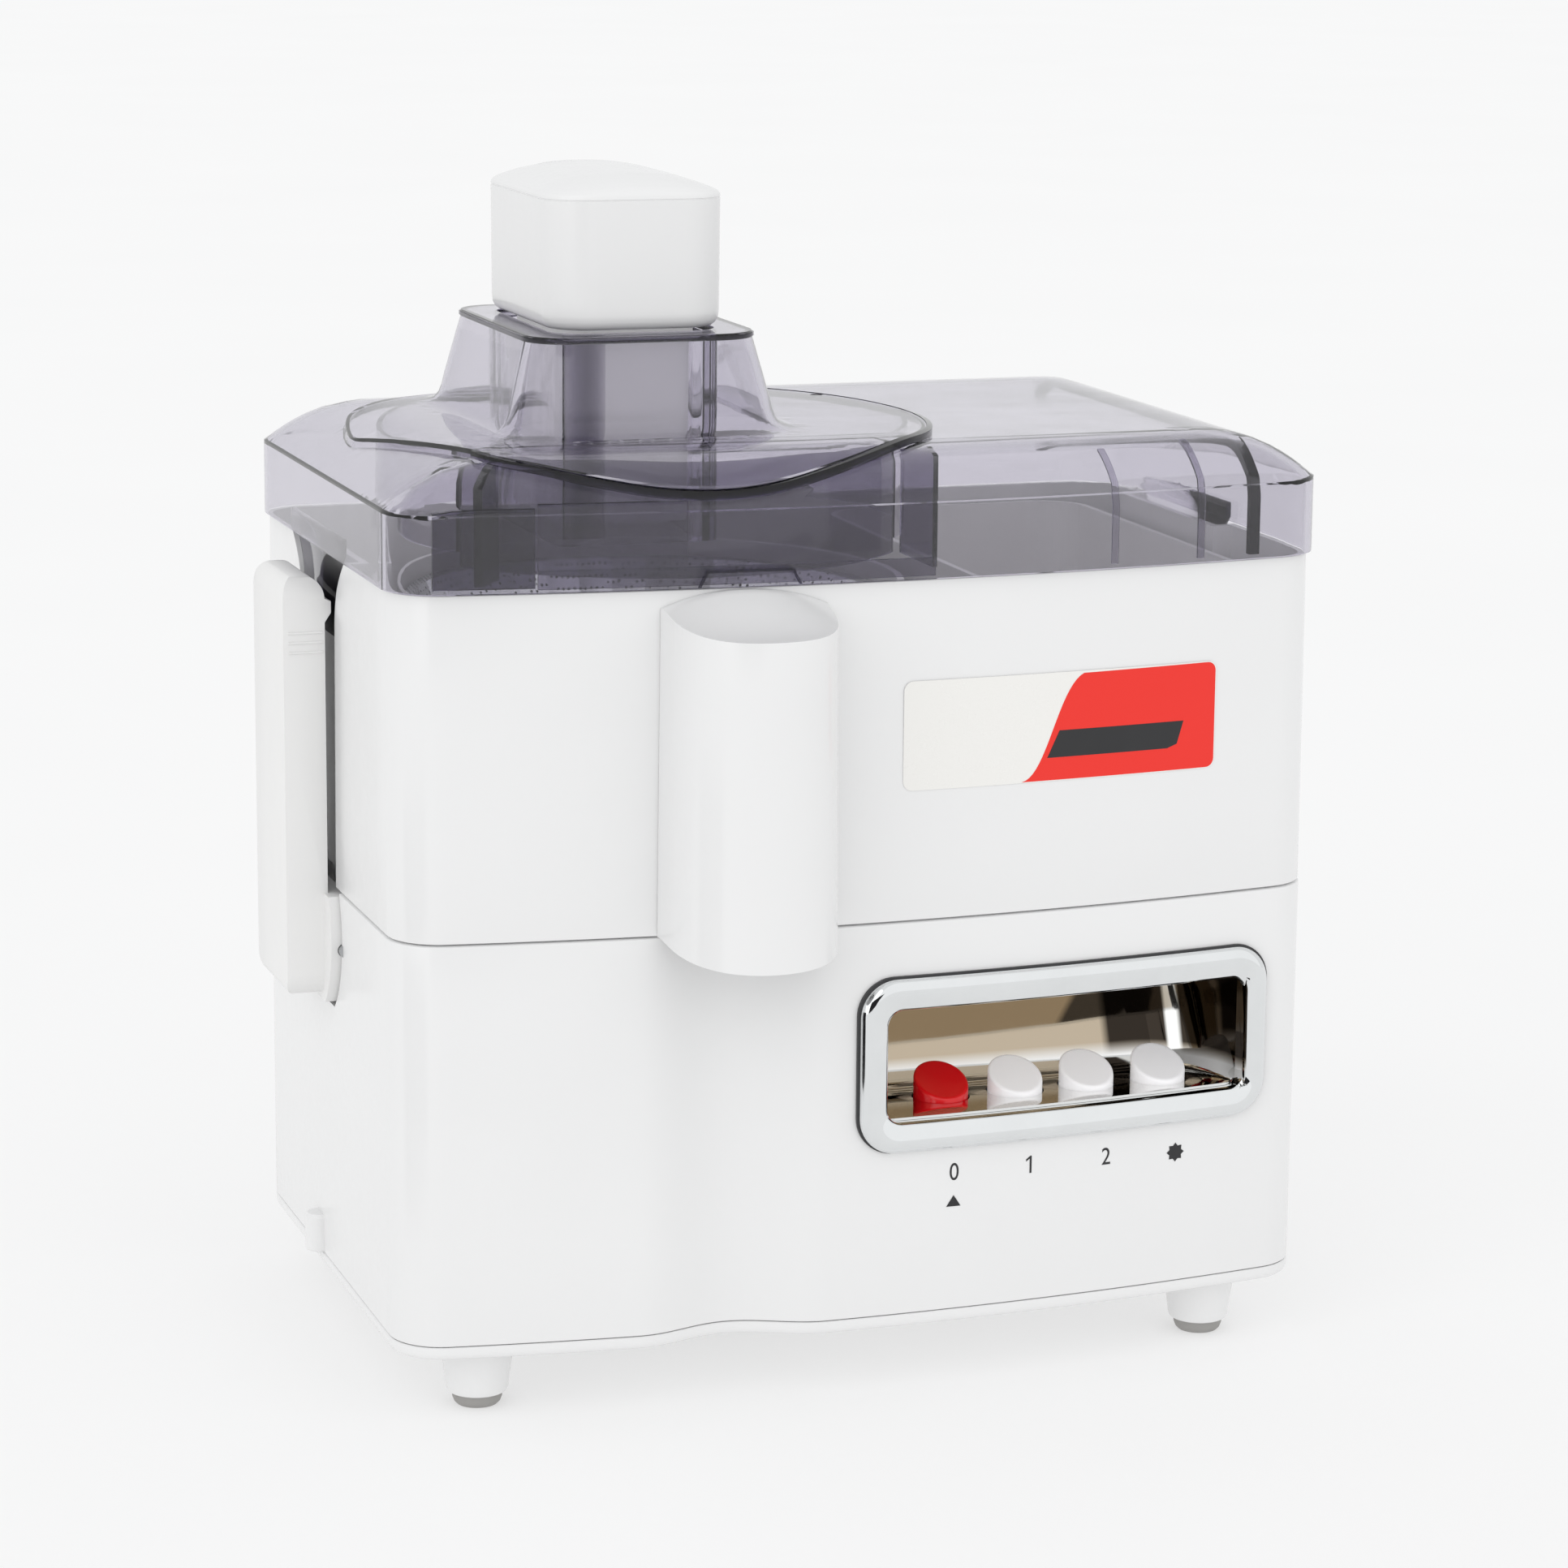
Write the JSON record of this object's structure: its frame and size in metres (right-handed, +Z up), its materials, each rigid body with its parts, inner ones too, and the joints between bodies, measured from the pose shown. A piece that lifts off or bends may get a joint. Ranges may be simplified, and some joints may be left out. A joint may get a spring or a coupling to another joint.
{
  "type": "centrifugal juicer",
  "caption": "Countertop centrifugal juicer: white motor base, lift-off juice housing with spout, smoky lid with feed chute and pusher, side clamps, push-button panel.",
  "frame": {"origin": "middle of the object's footprint, on the surface that its feet stand on", "axes": "+Z up, +X to the right seen from the front, -Y towards the user (the spout and buttons side)"},
  "size_m": [0.3306, 0.2354, 0.3756],
  "materials": {
    "white_plastic": "glossy injection-moulded ABS",
    "smoky_plastic": "transparent smoky grey, polished",
    "red_plastic": "glossy",
    "button_plastic": "satin gloss",
    "chrome_trim": "bright chrome plating",
    "foot_rubber": "matt",
    "mesh_steel": "perforated stainless sheet",
    "motor_steel": "plain steel",
    "copper_winding": "enamelled copper",
    "dark_plastic": "matt",
    "capacitor_case": "matt"
  },
  "bodies": {
    "base": {"bottom_cover": "white_plastic", "foot_pad_front_left": "foot_rubber", "foot_pad_front_right": "foot_rubber", "foot_pad_rear_left": "foot_rubber", "foot_pad_rear_right": "foot_rubber", "base_housing": "white_plastic", "cord_gland": "dark_plastic", "panel_bezel": "chrome_trim", "panel_tray": "chrome_trim", "switch_block": "dark_plastic", "circuit_breaker": "dark_plastic", "capacitor": "capacitor_case", "motor_stator": "motor_steel", "field_coil_front": "copper_winding", "field_coil_rear": "copper_winding", "carbon_brush_left": "dark_plastic", "carbon_brush_right": "dark_plastic", "motor_bracket_lower": "motor_steel", "motor_bracket_upper": "motor_steel", "bearing_lower": "motor_steel", "bearing_upper": "motor_steel", "motor_mount_left": "foot_rubber", "motor_mount_right": "foot_rubber", "shaft_seal": "foot_rubber", "clamp_pin_left": "motor_steel", "clamp_pin_right": "motor_steel"},
    "rotor": {"motor_shaft": "motor_steel", "armature": "motor_steel", "commutator": "copper_winding", "cooling_fan": "dark_plastic", "drive_coupling": "dark_plastic"},
    "juice_unit": {"juice_housing": "white_plastic", "spout_cover": "white_plastic", "spout_chute": "white_plastic", "juice_bowl": "white_plastic", "pulp_container": "white_plastic"},
    "basket": {"filter_basket": "mesh_steel", "basket_socket": "dark_plastic", "grater_disc": "mesh_steel", "basket_hub": "white_plastic"},
    "lid_unit": {"lid": "smoky_plastic"},
    "pusher_unit": {"pusher": "white_plastic"},
    "left_clamp": {"clamp_left": "white_plastic"},
    "right_clamp": {"clamp_right": "white_plastic"},
    "key_off": {"button_off": "red_plastic"},
    "key_low": {"button_low": "button_plastic"},
    "key_high": {"button_high": "button_plastic"},
    "key_pulse": {"button_pulse": "button_plastic"}
  },
  "joints": [
    {"name": "motor_spin", "type": "hinge", "parent": "base", "child": "rotor", "pos_m": [-0.046, 0.02075, 0.1], "axis": [0, 0, 1], "continuous": true},
    {"name": "juice_unit_lift", "type": "slide", "parent": "base", "child": "juice_unit", "axis": [0, 0, 1], "range_m": [0, 0.12]},
    {"name": "basket_spin", "type": "hinge", "parent": "juice_unit", "child": "basket", "pos_m": [-0.046, 0.02075, 0.19], "axis": [0, 0, 1], "continuous": true},
    {"name": "lid_lift", "type": "slide", "parent": "juice_unit", "child": "lid_unit", "axis": [0, 0, 1], "range_m": [0, 0.12]},
    {"name": "pusher_slide", "type": "slide", "parent": "lid_unit", "child": "pusher_unit", "axis": [0, 0, 1], "range_m": [0, 0.07]},
    {"name": "clamp_left_swing", "type": "hinge", "parent": "base", "child": "left_clamp", "pos_m": [-0.149, 0.03115, 0.133], "axis": [0, -1, 0], "range_deg": [0, 27]},
    {"name": "clamp_right_swing", "type": "hinge", "parent": "base", "child": "right_clamp", "pos_m": [0.149, 0.03115, 0.133], "axis": [0, 1, 0], "range_deg": [0, 27]},
    {"name": "button_off_press", "type": "slide", "parent": "base", "child": "key_off", "axis": [0, 0, -1], "range_m": [0, 0.004], "stiffness_N_per_m": 300, "springref_m": -0.003},
    {"name": "button_low_press", "type": "slide", "parent": "base", "child": "key_low", "axis": [0, 0, -1], "range_m": [0, 0.004], "stiffness_N_per_m": 300, "springref_m": -0.003},
    {"name": "button_high_press", "type": "slide", "parent": "base", "child": "key_high", "axis": [0, 0, -1], "range_m": [0, 0.004], "stiffness_N_per_m": 300, "springref_m": -0.003},
    {"name": "button_pulse_press", "type": "slide", "parent": "base", "child": "key_pulse", "axis": [0, 0, -1], "range_m": [0, 0.004], "stiffness_N_per_m": 300, "springref_m": -0.003}
  ],
  "couplings": [
    {"joint": "basket_spin", "follows": "motor_spin", "ratio": 1}
  ]
}
